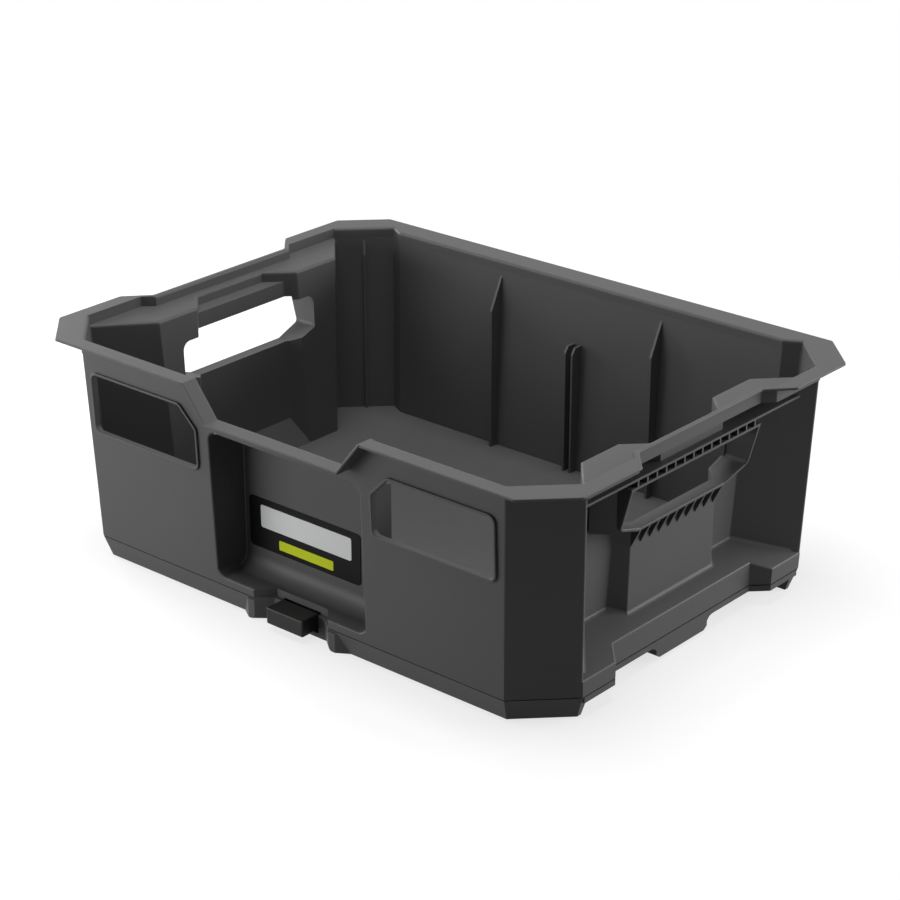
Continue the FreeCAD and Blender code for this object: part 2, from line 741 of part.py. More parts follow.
def ramp_core():
    """Hollow under the right end's slope, open to the hollow sill."""
    foot, top = ramp_line()
    slope = (top[0] - foot[0]) / (top[1] - foot[1])
    near = foot[0] + RAMP_SHIFT - slope * (FLOOR_Z - SEAM_Z + OVER)
    high = foot[0] + RAMP_SHIFT + slope * (RAMP_CORE_Z - FLOOR_Z)
    far = BULGE_X + OVER
    side = [(near, SEAM_Z - OVER), (far, SEAM_Z - OVER), (far, RAMP_CORE_Z), (high, RAMP_CORE_Z)]
    gap = BULGE_DIAGONAL - 2 * WALL
    plan = [(near, near - gap), (far, far - gap), (far, gap - far), (near, gap - near)]
    return along_y(side, -SILL_MID_Y, SILL_MID_Y).common(prism(plan, 0, RAMP_TOP_Z))


def inside():
    """All the space inside the walls and the lip."""
    room = tapered(room_outline(FLOOR_Z, WALL), FLOOR_Z, room_outline(BLOCK_Z, WALL), BLOCK_Z)
    room = room.makeFillet(WALL_ROUND, upright_edges(room)).cut([niche(WALL), mirrored(end_ramp())])
    scoop = prism(wall_d_outline(BULGE_DIAGONAL - WALL * math.sqrt(2), SCOOP_X), SCOOP_Z, BLOCK_Z)
    return room.fuse([mirrored(scoop), prism(lip_inside(0), BLOCK_Z, HEIGHT + OVER)])


def lip_edges(shape):
    """Inner edges of the rim's flat top."""
    return [e for e in edges_at(shape, HEIGHT) if abs(e.CenterOfMass.x) < RIM_MID_X - OVER
            and abs(e.CenterOfMass.y) < SIDE_Y]


def block_rounds():
    """Rounding of the end blocks' tops over the inside of the crate, in three facets."""
    limit = prism(lip_inside(0.4), FLOOR_Z, BLOCK_Z)
    rounds = []
    for (out_0, drop_0), (out_1, drop_1) in zip(ROUND_STEPS, ROUND_STEPS[1:]):
        low, high = BLOCK_Z - drop_0 * LIP_ROUND, BLOCK_Z - drop_1 * LIP_ROUND
        rooms = [room_outline(z, WALL - out * LIP_ROUND) for z, out in ((low, out_0), (high, out_1))]
        rounds.append(tapered(rooms[0], low, rooms[1], high).common(limit))
        scoops = []
        for out in (out_0 * LIP_ROUND, out_1 * LIP_ROUND):
            scoops.append(wall_d_outline(BULGE_DIAGONAL + (out - WALL) * math.sqrt(2), SCOOP_X + out))
        rounds.append(mirrored(tapered(scoops[0], low, scoops[1], high)))
    return rounds


def mouth_edges(shape):
    """Front edges of the label niche."""
    def found(edge):
        room, y = edge.BoundBox, leaning(SIDE_Y, LEAN_Y, edge.CenterOfMass.z)
        level = abs(edge.CenterOfMass.y + y) < 0.3
        return level and room.XMax < NICHE_HALF + OVER and room.XMin > -NICHE_HALF - OVER and (
            SEAM_Z + OVER < room.ZMin and room.ZMax < NICHE_TOP_Z + OVER)
    return [e for e in shape.Edges if found(e)]


def moulding():
    """The crate's one moulding: floor, walls, rim, sills, niche and windows."""
    posts, holes = screw_bosses()
    bosses = Part.makeCompound(posts).common(below_sill_slope(WALL / 2))
    solid = wall_block().fuse([lip_block(), rim_flange(), sill_ledge()] + sill_rounds() + bosses.Solids)
    solid = solid.removeSplitter()
    solid = solid.cut([inside(), mirrored(ramp_core())])
    solid = solid.makeFillet(LIP_ROUND, lip_edges(solid)).cut(block_rounds())
    solid = solid.cut([niche(0), dip_cut()]).fuse(dip_flange())
    solid = solid.makeFillet(MOUTH_ROUND, mouth_edges(solid))
    solid = solid.cut([mirrored(hand_hold_cut()), notch(NOTCH_TOP_Y, SEAM_Z - OVER, NICHE_FLOOR_Z + OVER)])
    solid = solid.cut(button_way(SEAM_Z - OVER, BUTTON_TOP_Z + RUN_GAP))
    solid = solid.fuse(front_pair(window_bead()))
    solid = solid.cut([front_pair(window(0, BIG / 20, BIG / 10))] + holes)
    return solid.fuse(back_ribs() + corner_ribs()).removeSplitter()


def zone(x0, x1, y0, y1, z0, z1):
    """The moulding's share of a box."""
    return MOULDING.common(box(x0, x1, y0, y1, z0, z1)).removeSplitter()


def stacking_rim():
    """Rim flange, lip and the tops of the end blocks."""
    return zone(-BIG, BIG, -BIG, BIG, RIM_PART_Z, BIG)


def crate_floor():
    """Floor between the four walls."""
    return zone(-END_PART_X, END_PART_X, FRONT_PART_Y, BACK_PART_Y, 0, RIM_PART_Z)


def front_wall():
    """Front wall with its windows, lowered middle and label niche."""
    return zone(-END_PART_X, END_PART_X, -BIG, FRONT_PART_Y, 0, RIM_PART_Z)


def back_wall():
    """Back wall with its fins and divider slot."""
    return zone(-END_PART_X, END_PART_X, BACK_PART_Y, BIG, 0, RIM_PART_Z)


def right_end_wall():
    """Right end with its recess and hand-hold, and the corners beside it."""
    return zone(END_PART_X, BIG, -BIG, BIG, SILL_PART_Z, RIM_PART_Z)


def left_end_wall():
    """Left end with its recess and hand-hold, and the corners beside it."""
    return zone(-BIG, -END_PART_X, -BIG, BIG, SILL_PART_Z, RIM_PART_Z)


def right_sill():
    """Foot of the right end with its sloped sill."""
    return zone(END_PART_X, BIG, -BIG, BIG, 0, SILL_PART_Z)


def left_sill():
    """Foot of the left end with its sloped sill."""
    return zone(-BIG, -END_PART_X, -BIG, BIG, 0, SILL_PART_Z)


def right_grip():
    """Grip bar, shelf and hand-hold frame on the outside of the right end."""
    solid = grip_bar().fuse([tunnel_frame()] + sill_teeth())
    return solid.cut([wall_block(), lip_block(), inside(), hand_hold_cut()]).removeSplitter()


def left_grip():
    """The same on the left end."""
    return right_grip().mirror(Vector(0, 0, 0), Vector(1, 0, 0))


def rail_outline(z):
    """Outside of the base frame's tapered lower part at a height."""
    top = sill_outline(SEAM_Z)
    return inset(top, RAIL_LEAN * (SEAM_Z - z) / SEAM_Z) if z < SEAM_Z else top


def end_foot(top):
    """Foot under the middle of the right end, flared where it meets the apron."""
    right = [(FOOT_HALF - 4, FOOT_Z), (FOOT_HALF, FOOT_Z + 3), (FOOT_HALF, APRON_Z - 4),
             (FOOT_HALF + 3, APRON_Z - 1), (FOOT_HALF + 8, APRON_Z + 0.5), (FOOT_HALF + 8, top)]
    return along_x([(-y, z) for y, z in reversed(right)] + right, FOOT_IN_X, BIG)


def jaw(top):
    """Upright cheek at the right of the latch notch, that stands out from the leaning rail."""
    front = -leaning(SIDE_Y, LEAN_Y, SEAM_Z)
    rear = NOTCH_Y + WALL
    foot = [(JAW_HALF, front), (JAW_FOOT_HALF, front + RAIL_LEAN), (JAW_FOOT_HALF, rear)]
    return prism([(0, rear), (0, front)] + foot, 0, top)


def base_frame():
    """Plate, front and back rails, end feet and latch bay of the lower moulding."""
    under = SEAM_Z - PLATE_T
    band_top = SEAM_Z - SEAM_GAP
    neck = prism(inset(rail_outline(SEAM_Z), SEAM_GROOVE), under, SEAM_Z)
    plate = tapered(rail_outline(under), under, rail_outline(band_top), band_top).fuse(neck)
    full = tapered(rail_outline(0), 0, rail_outline(under), under)
    hollow = tapered(inset(rail_outline(0), WALL), 0, inset(rail_outline(under), WALL), under)
    rails = []
    for s in (-1, 1):
        share, room = [box(-BIG, BIG, min(s * y, s * BIG), max(s * y, s * BIG), 0, under)
                       for y in (RAIL_Y, RAIL_Y + WALL)]
        rails.append(full.common(share).cut(hollow.common(room)))
    ends = box(-BIG, BIG, -APRON_HALF, APRON_HALF, 0, band_top)
    band = prism(sill_outline(SEAM_Z), 0, band_top).common(ends)
    skirt = box(-BIG, BIG, -BIG, BIG, APRON_Z, band_top)
    skirt = skirt.cut(prism(inset(sill_outline(SEAM_Z), WALL), 0, under))
    aprons = band.common(skirt)
    feet = band.common(mirrored(end_foot(under)))
    cheeks = mirrored(jaw(under))
    bay_half, cover_half = BAY_HALF + BAY_WALL, BAY_HALF + COVER_EDGE
    bay = box(-bay_half, bay_half, NOTCH_Y, BAY_Y + BAY_WALL, COVER_Z + COVER_T, under)
    room = box(-BAY_HALF, BAY_HALF, NOTCH_Y + WALL, BAY_Y, 0, under)
    solid = plate.fuse(rails + [aprons, feet, cheeks, bay])
    slot = box(-BUTTON_HALF - RUN_GAP, BUTTON_HALF + RUN_GAP, NOTCH_Y - OVER, NOTCH_Y + WALL + OVER,
               SLIDE_LOW_Z - RUN_GAP, under)
    seat = box(-cover_half, cover_half, NOTCH_Y + WALL, BAY_Y + COVER_EDGE, -OVER, COVER_Z + COVER_T)
    way = button_way(under - OVER, SEAM_Z + OVER)
    solid = solid.cut([room, notch(NOTCH_Y, -OVER, SEAM_Z + OVER), slot, way, seat] + jaw_rounds())
    solid = solid.fuse(cover_bosses())
    return solid.cut(cover_holes() + plate_holes()).removeSplitter()


def cover_spots():
    """Places of the cover screws."""
    x = BAY_HALF + BAY_WALL + 2.0
    rows = (NOTCH_Y + WALL + COVER_EDGE / 2 + 8, BAY_Y - COVER_EDGE)
    return [(sx * x, y) for sx in (-1, 1) for y in rows]


def cover_bosses():
    """Posts beside the bay that take the cover screws."""
    low = COVER_Z + COVER_T
    height = SEAM_Z - PLATE_T - low
    return [Part.makeCylinder(BOSS_R - 1, height, Vector(x, y, low)) for x, y in cover_spots()]


def cover_holes():
    """Holes in those posts."""
    low = COVER_Z + COVER_T - OVER
    return [Part.makeCylinder(COVER_SCREW_R + SCREW_GAP, 10.0, Vector(x, y, low)) for x, y in cover_spots()]


def base_spots():
    """Places of the screws that hold the base frame to the body."""
    return [(sx * BASE_SCREW_X, sy * BASE_SCREW_Y) for sx in (-1, 1) for sy in (-1, 1)]


def plate_holes():
    """Holes in the base plate for those screws."""
    radius = BASE_SCREW_R + SCREW_GAP
    return [Part.makeCylinder(radius, SEAM_Z + OVER, Vector(x, y, 0)) for x, y in base_spots()]


def base_screws():
    """Screws up through the base plate into the body's posts."""
    screws = []
    for x, y in base_spots():
        head_z = SEAM_Z - PLATE_T - BASE_HEAD_H
        head = Part.makeCylinder(BASE_HEAD_R, BASE_HEAD_H, Vector(x, y, head_z))
        shank = Part.makeCylinder(BASE_SCREW_R, BASE_SCREW_LENGTH, Vector(x, y, SEAM_Z - PLATE_T))
        screws.append(head.fuse(shank).removeSplitter())
    return Part.makeCompound(screws)


def latch_cover():
    """Plate under the latch bay, with countersunk holes."""
    plate = box(-BAY_HALF - COVER_EDGE + RUN_GAP, BAY_HALF + COVER_EDGE - RUN_GAP,
                NOTCH_Y + WALL + RUN_GAP, BAY_Y + COVER_EDGE - RUN_GAP, COVER_Z, COVER_Z + COVER_T)
    return plate.cut([cover_screw(x, y, SCREW_GAP) for x, y in cover_spots()])


def cover_screw(x, y, gap):
    """One countersunk cover screw, grown by a gap for its hole."""
    sink = COVER_HEAD_R - COVER_SCREW_R
    head = Part.makeCone(COVER_HEAD_R + gap, COVER_SCREW_R + gap, sink, Vector(x, y, COVER_Z))
    shank = Part.makeCylinder(COVER_SCREW_R + gap, 9.0 - sink, Vector(x, y, COVER_Z + sink))
    return head.fuse(shank).removeSplitter()


def cover_screws():
    """The cover's four screws."""
    return Part.makeCompound([cover_screw(x, y, 0) for x, y in cover_spots()])


def release_button():
    """Black push button that stands out of the notch."""
    outline = [(-BUTTON_HALF, BUTTON_LOW_Z), (BUTTON_HALF, BUTTON_LOW_Z),
               (BUTTON_HALF, BUTTON_TOP_Z), (-BUTTON_HALF, BUTTON_TOP_Z)]
    block = along_y(outline, BUTTON_FRONT_Y, NOTCH_Y + WALL)
    front = [e for e in block.Edges if abs(e.BoundBox.YMax - BUTTON_FRONT_Y) < 0.01]
    sides = edges_along(block, Vector(0, 1, 0))
    block = block.makeFillet(1.4, front + sides)
    return block.cut(box(-BIG, BIG, BUTTON_BACK_Y, BIG, SLIDE_TOP_Z, BIG))


def latch_bolt():
    """Slide behind the button, with the hook that holds the box below."""
    plate = box(-SLIDE_HALF, SLIDE_HALF, SLIDE_FRONT_Y, SLIDE_BACK_Y, SLIDE_LOW_Z, SLIDE_TOP_Z)
    neck = box(-HOOK_HALF, HOOK_HALF, HOOK_FRONT_Y, SLIDE_FRONT_Y, SLIDE_LOW_Z, BUTTON_LOW_Z)
    seats = []
    for x in (-SPRING_X, SPRING_X):
        mouth = Vector(x, SLIDE_BACK_Y, SPRING_Z)
        seats.append(Part.makeCylinder(SPRING_R + 2 * SPRING_WIRE_R, SPRING_SEAT, mouth, Vector(0, -1, 0)))
    return plate.fuse(neck).cut(seats).removeSplitter()


def front_label():
    """Thin printed plate on the back of the niche."""
    outline = [(LABEL_LEFT_X, LABEL_LOW_Z), (LABEL_RIGHT_X, LABEL_LOW_Z),
               (LABEL_RIGHT_X, LABEL_TOP_Z), (LABEL_LEFT_X, LABEL_TOP_Z)]
    return rounded_along_y(outline, NICHE_BACK_Y - LABEL_T, NICHE_BACK_Y, LABEL_ROUND)


def biarc(p, q, u, v):
    """Two tangent arcs from p to q, leaving along u and arriving along v."""
    chord = q - p
    bend = u + v
    a = 2 * (1 - u.dot(v))
    b = chord.dot(bend)
    if abs(a) < 1e-9:
        d = chord.Length / 2
    else:
        d = (-b + math.sqrt(b * b + a * chord.dot(chord))) / a
    joint = (p + u * d + q - v * d) * 0.5
    return [arc_from(p, u, joint), arc_from(q, v * -1, joint)]


def arc_from(start, along, end):
    """Arc from a start point and direction to an end point."""
    chord = end - start
    side = chord - along * chord.dot(along)
    radius = chord.dot(chord) / (2 * side.Length)
    centre = start + side.normalize() * radius
    middle = (start + end) * 0.5 - centre
    return Part.Arc(start, centre + middle.normalize() * radius, end)


def return_spring(x):
    """Coil between the slide and the back wall of the bay."""
    length = BAY_Y - SLIDE_BACK_Y + SPRING_SEAT - 2 * SPRING_WIRE_R
    start_y = SLIDE_BACK_Y - SPRING_SEAT + SPRING_WIRE_R
    steps = SPRING_TURNS * 4
    rise = length / (SPRING_TURNS * 2 * math.pi)

    def at(i):
        a = 2 * math.pi * i / 4
        return Vector(x + SPRING_R * math.cos(a), start_y + rise * a, SPRING_Z + SPRING_R * math.sin(a))

    def heading(i):
        a = 2 * math.pi * i / 4
        return Vector(-SPRING_R * math.sin(a), rise, SPRING_R * math.cos(a)).normalize()

    arcs = []
    for i in range(steps):
        first, second = biarc(at(i), at(i + 1), heading(i), heading(i + 1))
        arcs += [first.toShape(), second.toShape()]
    path = Part.Wire(Part.__sortEdges__(arcs))
    section = Part.Wire(Part.makeCircle(SPRING_WIRE_R, at(0), heading(0)))
    return path.makePipeShell([section], True, False)


MOULDING = moulding()
PARTS = {
    "crate_floor": crate_floor,
    "front_wall": front_wall,
    "back_wall": back_wall,
    "left_end_wall": left_end_wall,
    "right_end_wall": right_end_wall,
    "left_sill": left_sill,
    "right_sill": right_sill,
    "left_grip": left_grip,
    "right_grip": right_grip,
    "stacking_rim": stacking_rim,
    "base_frame": base_frame,
    "release_button": release_button,
    "latch_bolt": latch_bolt,
    "left_return_spring": lambda: return_spring(-SPRING_X),
    "right_return_spring": lambda: return_spring(SPRING_X),
    "latch_cover": latch_cover,
    "cover_screws": cover_screws,
    "base_screws": base_screws,
    "front_label": front_label,
}

os.makedirs("parts", exist_ok=True)
for name, make in PARTS.items():
    shape = make()
    shape.exportStep("parts/%s.step" % name)
    room = shape.BoundBox
    print("%-20s valid %s solids %d volume %.1f cm3  x %.1f..%.1f y %.1f..%.1f z %.1f..%.1f" % (
        name, shape.isValid(), len(shape.Solids), shape.Volume / 1000,
        room.XMin, room.XMax, room.YMin, room.YMax, room.ZMin, room.ZMax))
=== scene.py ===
"""Looks of a stackable moulded tool crate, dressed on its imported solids."""

import json
import math

import bmesh
import bpy
from bpy.props import FloatProperty, FloatVectorProperty, IntProperty, PointerProperty
from bpy.types import Operator, Panel, PropertyGroup
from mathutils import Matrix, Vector


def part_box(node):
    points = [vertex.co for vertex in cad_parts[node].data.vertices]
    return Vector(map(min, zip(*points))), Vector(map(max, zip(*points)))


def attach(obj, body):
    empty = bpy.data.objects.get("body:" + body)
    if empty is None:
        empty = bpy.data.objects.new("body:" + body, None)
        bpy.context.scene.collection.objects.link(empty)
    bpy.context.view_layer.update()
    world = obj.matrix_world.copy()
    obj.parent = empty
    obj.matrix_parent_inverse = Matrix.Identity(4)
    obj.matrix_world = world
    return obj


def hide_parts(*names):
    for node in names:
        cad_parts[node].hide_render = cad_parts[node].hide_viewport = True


bl_info = {
    "name": "Stackable tool crate",
    "version": (1, 0, 0),
    "blender": (4, 5, 0),
    "location": "View3D > Sidebar > Crate",
    "description": "Dresses the packed tool crate and stands it on a plain studio floor",
    "category": "Object",
}

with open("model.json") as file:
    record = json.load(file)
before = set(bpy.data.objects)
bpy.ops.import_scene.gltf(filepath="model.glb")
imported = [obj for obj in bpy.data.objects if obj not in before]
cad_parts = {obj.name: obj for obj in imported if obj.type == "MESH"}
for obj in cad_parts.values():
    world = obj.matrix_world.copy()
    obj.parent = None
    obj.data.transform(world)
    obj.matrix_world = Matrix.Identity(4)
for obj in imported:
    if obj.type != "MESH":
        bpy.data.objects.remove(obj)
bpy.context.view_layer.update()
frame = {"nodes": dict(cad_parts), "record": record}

# Patterns in each metre of the shaders' noises, and the moulded cells' against the fine grain's
CLOUD_SCALE = 9.0
FLOW_SCALE = 38.0
DULL_SCALE = 160.0
PEEL_SCALE = 420.0
DRAWN_SCALE = 1800.0
INK_SCALE = 2600.0
CELL_SHARE = 0.7

# Middle of a noise, and the share of the flow lines in the clouds
NOISE_MIDDLE = 0.5
FLOW_SHARE = 0.5

# How far the patterns shift a colour, and between which levels the ink turns from speck to even
SPECK_SPREAD = 0.25
DULL_COLOUR = 0.72
DRAWN_SHARE = 0.6
INK_LOW, INK_HIGH = 0.3, 0.7

# How far the patterns shift a roughness
CLOUD_ROUGHNESS = 0.12
FINE_ROUGHNESS = 0.10
DRAWN_ROUGHNESS = 0.20
PEEL_ROUGHNESS = 0.16

# Bump: shares of grain and cells in the plastic's height, depths in metres, and strengths
FINE_HEIGHT, CELL_HEIGHT = 0.6, 0.5
DRAWN_DEPTH = 0.00003
PEEL_DEPTH = 0.00004
GRAIN_STRENGTH = 0.35
DRAWN_STRENGTH = 0.3
PEEL_STRENGTH = 0.2

# How the drawn lines are stretched on the spring wire and on the screws
WIRE_STRETCH = (1.0, 6.0, 1.0)
ZINC_STRETCH = (1.0, 1.0, 0.3)

# Facets of the screws, a slot of the recess against its half length, and the start and slimness of the tip
HEAD_SIDES, HEAD_RINGS, HEAD_MIDDLE = 40, 8, 0.5
SHANK_SIDES, SHANK_RINGS = 24, 72
SLOT_LENGTH, SLOT_WIDTH, SLOT_DEPTH = 2.0, 0.42, 1.1
TIP_START, TIP_SHARE = 0.86, 0.45

# Whole turns added to a thread's angle to keep it above zero, and half of a cylinder that is 1 tall
SPARE_TURNS = 2.0
HALF_ROD = 0.5

# Steps of a print's round corner, and the share of its thickness that is softened
CORNER_STEPS = 8
SOFT_SHARE = 0.4

# Floor: its size, where its lit middle fades out, how pale that is and how much of it throws light back
FLOOR_RADIUS = 6.0
FLOOR_SIDES = 96
FADE_START, FADE_END = 0.45, 1.20
FLOOR_LIT = 0.28
FLOOR_BOUNCE = 0.30

# Lamps: their level's name, azimuth and elevation in degrees, and distance, width and height in metres
LAMPS = {
    "front_softbox": ("front_level", -35, 8, 1.1, 0.8, 0.5),
    "end_softbox": ("end_level", 140, 10, 2.0, 1.2, 0.9),
    "left_softbox": ("left_level", -88, 6, 1.1, 0.8, 0.5),
    "top_softbox": ("top_level", 0, 88, 2.0, 1.2, 1.2),
}
LAMP_TARGET = (0.0, 0.0, 0.1)

# Width of the camera's sensor in millimetres, and the white of the floor and the world
SENSOR_WIDTH = 36.0
WHITE = (1.0, 1.0, 1.0, 1.0)


def nodes_of(slot):
    """CAD nodes whose finish is a material slot of the record."""
    return [part["node"] for part in frame["record"]["subparts"] if part["material_slot"] == slot]


def colour(name, description, default):
    """Colour property of a finish."""
    return FloatVectorProperty(name=name, description=description, subtype="COLOR", size=3, min=0, max=1,
                               default=default)


def length(name, description, default):
    """Length property, in metres."""
    return FloatProperty(name=name, description=description, unit="LENGTH", min=0, precision=5,
                         default=default)


def share(name, description, default):
    """Property from none to all."""
    return FloatProperty(name=name, description=description, subtype="FACTOR", min=0, max=1, default=default)


def watts(name, description, default):
    """Power property of a lamp, in watts."""
    return FloatProperty(name=name, description=description, min=0, default=default)


class CrateFinish(PropertyGroup):
    """Colours and grain of the crate's finishes."""
    moulding: colour("Moulding", "Charcoal plastic of the walls, rim and grips", (0.080, 0.080, 0.081))
    base: colour("Base", "Charcoal plastic of the base frame and latch cover", (0.076, 0.076, 0.077))
    latch: colour("Latch", "Black plastic of the release button and its bolt", (0.016, 0.016, 0.017))
    film: colour("Label film", "Black film of the label", (0.006, 0.006, 0.006))
    strip: colour("Write-on strip", "Pale strip of the label", (0.82, 0.83, 0.83))
    bar: colour("Short bar", "Lime bar of the label", (0.66, 0.76, 0.03))
    spring: colour("Spring wire", "Drawn steel wire", (0.52, 0.53, 0.55))
    zinc: colour("Zinc", "Zinc plated screws", (0.58, 0.58, 0.60))
    roughness: share("Roughness", "Roughness of the moulded plastic", 0.50)
    latch_roughness: share("Latch roughness", "Roughness of the black plastic", 0.38)
    film_roughness: share("Film roughness", "Roughness of the label film", 0.34)
    ink_roughness: share("Ink roughness", "Roughness of the label's print", 0.42)
    spring_roughness: share("Spring roughness", "Roughness of the spring wire", 0.32)
    zinc_roughness: share("Zinc roughness", "Roughness of the screws", 0.36)
    cloud: share("Cloud", "Strength of the flow clouds in the plastic", 0.12)
    film_speck: share("Film speck", "Strength of the specks in the label film", 0.30)
    ink_speck: share("Ink speck", "Strength of the specks in the label's print", 0.06)
    shine: share("Shine", "Specular level of the moulded plastic", 0.20)
    film_shine: share("Film shine", "Specular level of the label", 0.08)
    grain: length("Grain size", "Size of the moulded grain", 0.0007)
    grain_depth: length("Grain depth", "Depth of the moulded grain", 0.00012)


class CrateScrews(PropertyGroup):
    """Sizes of the cover screws and base screws."""
    cover_head: length("Cover head radius", "Radius of the countersunk heads", 0.0030)
    cover_shank: length("Cover shank radius", "Radius of the cover screws' threads", 0.0015)
    cover_length: length("Cover length", "Length of the cover screws with their heads", 0.0090)
    base_head: length("Base head radius", "Radius of the pan heads", 0.0040)
    base_shank: length("Base shank radius", "Radius of the base screws' threads", 0.0020)
    base_length: length("Base length", "Length of the base screws with their heads", 0.0206)
    cover_tall: length("Cover head height", "Height of the countersunk heads", 0.0015)
    base_tall: length("Base head height", "Height of the pan heads", 0.0026)
    cover_pitch: length("Cover pitch", "Thread pitch of the cover screws", 0.0009)
    base_pitch: length("Base pitch", "Thread pitch of the base screws", 0.0016)
    cover_edge: share("Cover edge", "Face of the countersunk heads against their radius", 0.97)
    base_edge: share("Base edge", "Face of the pan heads against their radius", 0.72)
    thread: share("Thread", "Depth of the threads against their radius", 0.24)
    recess: share("Recess", "Half length of the cross recess against the head's radius", 0.52)
    seed: IntProperty(name="Seed", description="How the recesses are turned", default=7, min=0)


class CrateLabel(PropertyGroup):
    """Sizes of the bare print on the label."""
    strip_left: length("Strip margin", "From the label's left edge to the pale strip", 0.0130)
    strip_width: length("Strip width", "Width of the pale strip", 0.1000)
    strip_low: length("Strip low edge", "Height of the pale strip's low edge", 0.0670)
    strip_top: length("Strip top edge", "Height of the pale strip's top edge", 0.0870)
    bar_left: length("Bar margin", "From the label's left edge to the short bar", 0.0330)
    bar_width: length("Bar width", "Width of the short bar", 0.0600)
    bar_low: length("Bar low edge", "Height of the short bar's low edge", 0.0520)
    bar_top: length("Bar top edge", "Height of the short bar's top edge", 0.0605)
    strip_corner: length("Strip corner", "Radius of the pale strip's corners", 0.0020)
    bar_corner: length("Bar corner", "Radius of the short bar's corners", 0.0010)
    thickness: length("Print thickness", "How far the print stands off the film", 0.00015)


class CrateStage(PropertyGroup):
    """Camera and light of the studio."""
    azimuth: FloatProperty(name="Azimuth", description="Camera's turn from the front to the right end",
                           subtype="ANGLE", default=math.radians(40.66))
    elevation: FloatProperty(name="Elevation", description="Camera's height as an angle", subtype="ANGLE",
                             default=math.radians(23.49))
    distance: length("Distance", "From the camera to its target", 2.0438)
    target: FloatVectorProperty(name="Target", description="Point that the camera looks at", subtype="XYZ",
                                unit="LENGTH", size=3, default=(0.0421, -0.0406, 0.1252))
    lens: FloatProperty(name="Lens", description="Focal length in millimetres", default=100.44, min=1)
    fill: FloatProperty(name="Fill", description="Level of the even light from all round", min=0,
                        default=0.08)
    front_level: watts("Front lamp", "Power of the left front lamp", 6.7)
    end_level: watts("End lamp", "Power of the right rear lamp", 37.0)
    left_level: watts("Left lamp", "Power of the lamp off the left end", 16.0)
    top_level: watts("Top lamp", "Power of the overhead lamp", 36.5)


def add_socket(tree, name, kind, out=False):
    """Named socket of a node group; gives its identifier."""
    side = "OUTPUT" if out else "INPUT"
    return tree.interface.new_socket(name=name, in_out=side, socket_type="NodeSocket" + kind).identifier


def add_node(tree, kind, settings=None, **values):
    """Node with its settings, and with constants or links for its inputs, by input name."""
    node = tree.nodes.new(kind)
    for key, value in (settings or {}).items():
        setattr(node, key, value)
    for key, value in values.items():
        plug(tree, node, key.replace("_", " "), value)
    return node


def plug(tree, node, key, value):
    """Constant or link for one input, found by its name or its number."""
    if key.startswith("in ") and key[3:].isdigit():
        socket = node.inputs[int(key[3:])]
    else:
        socket = next(s for s in node.inputs if s.name.lower() == key.lower() and s.enabled)
    if isinstance(value, bpy.types.NodeSocket):
        tree.links.new(value, socket)
    elif isinstance(value, bpy.types.Node):
        tree.links.new(value.outputs[0], socket)
    else:
        socket.default_value = value


def maths(tree, operation, first, second=None, clamp=False):
    """Math node on one or two values; gives its result."""
    node = add_node(tree, "ShaderNodeMath", {"operation": operation, "use_clamp": clamp}, in_0=first)
    if second is not None:
        plug(tree, node, "in 1", second)
    return node.outputs[0]


def times(tree, first, second):
    """Product of two values."""
    return maths(tree, "MULTIPLY", first, second)


def plus(tree, first, second):
    """Sum of two values."""
    return maths(tree, "ADD", first, second)


def minus(tree, first, second):
    """Difference of two values."""
    return maths(tree, "SUBTRACT", first, second)


def off_middle(tree, pattern, reach):
    """A noise about zero, times how far it reaches."""
    return times(tree, minus(tree, pattern, NOISE_MIDDLE), reach)


def ramp(tree, value, low, high, out_low=0.0, out_high=1.0):
    """Smooth step of a value between two levels."""
    node = add_node(tree, "ShaderNodeMapRange", {"interpolation_type": "SMOOTHSTEP"}, in_0=value, in_1=low,
                    in_2=high, in_3=out_low, in_4=out_high)
    return node.outputs[0]


def scaled(tree, shade, level):
    """Colour made lighter or darker by a level."""
    node = add_node(tree, "ShaderNodeVectorMath", {"operation": "SCALE"}, in_0=shade, Scale=level)
    return node.outputs[0]


def noise(tree, where, scale, detail, rough):
    """Noise at a scale in patterns per metre, or at a linked scale."""
    node = add_node(tree, "ShaderNodeTexNoise", Vector=where, Scale=scale, Detail=detail, Roughness=rough)
    return node.outputs[0]


def new_effect(name, **inputs):
    """Shader group for a colour, a roughness and a height; gives it, its inputs and Object coordinates."""
    tree = bpy.data.node_groups.new(name, "ShaderNodeTree")
    for key, kind in inputs.items():
        add_socket(tree, key.replace("_", " "), kind)
    for key, kind in (("Colour", "Color"), ("Roughness", "Float"), ("Height", "Float")):
        add_socket(tree, key, kind, out=True)
    given = tree.nodes.new("NodeGroupInput").outputs
    return tree, given, tree.nodes.new("ShaderNodeTexCoord").outputs["Object"]


def put_out(tree, *results):
    """Joins a group's results to its outputs, in order; gives the group."""
    out = tree.nodes.new("NodeGroupOutput")
    for socket, value in zip(out.inputs, results):
        tree.links.new(value, socket)
    return tree


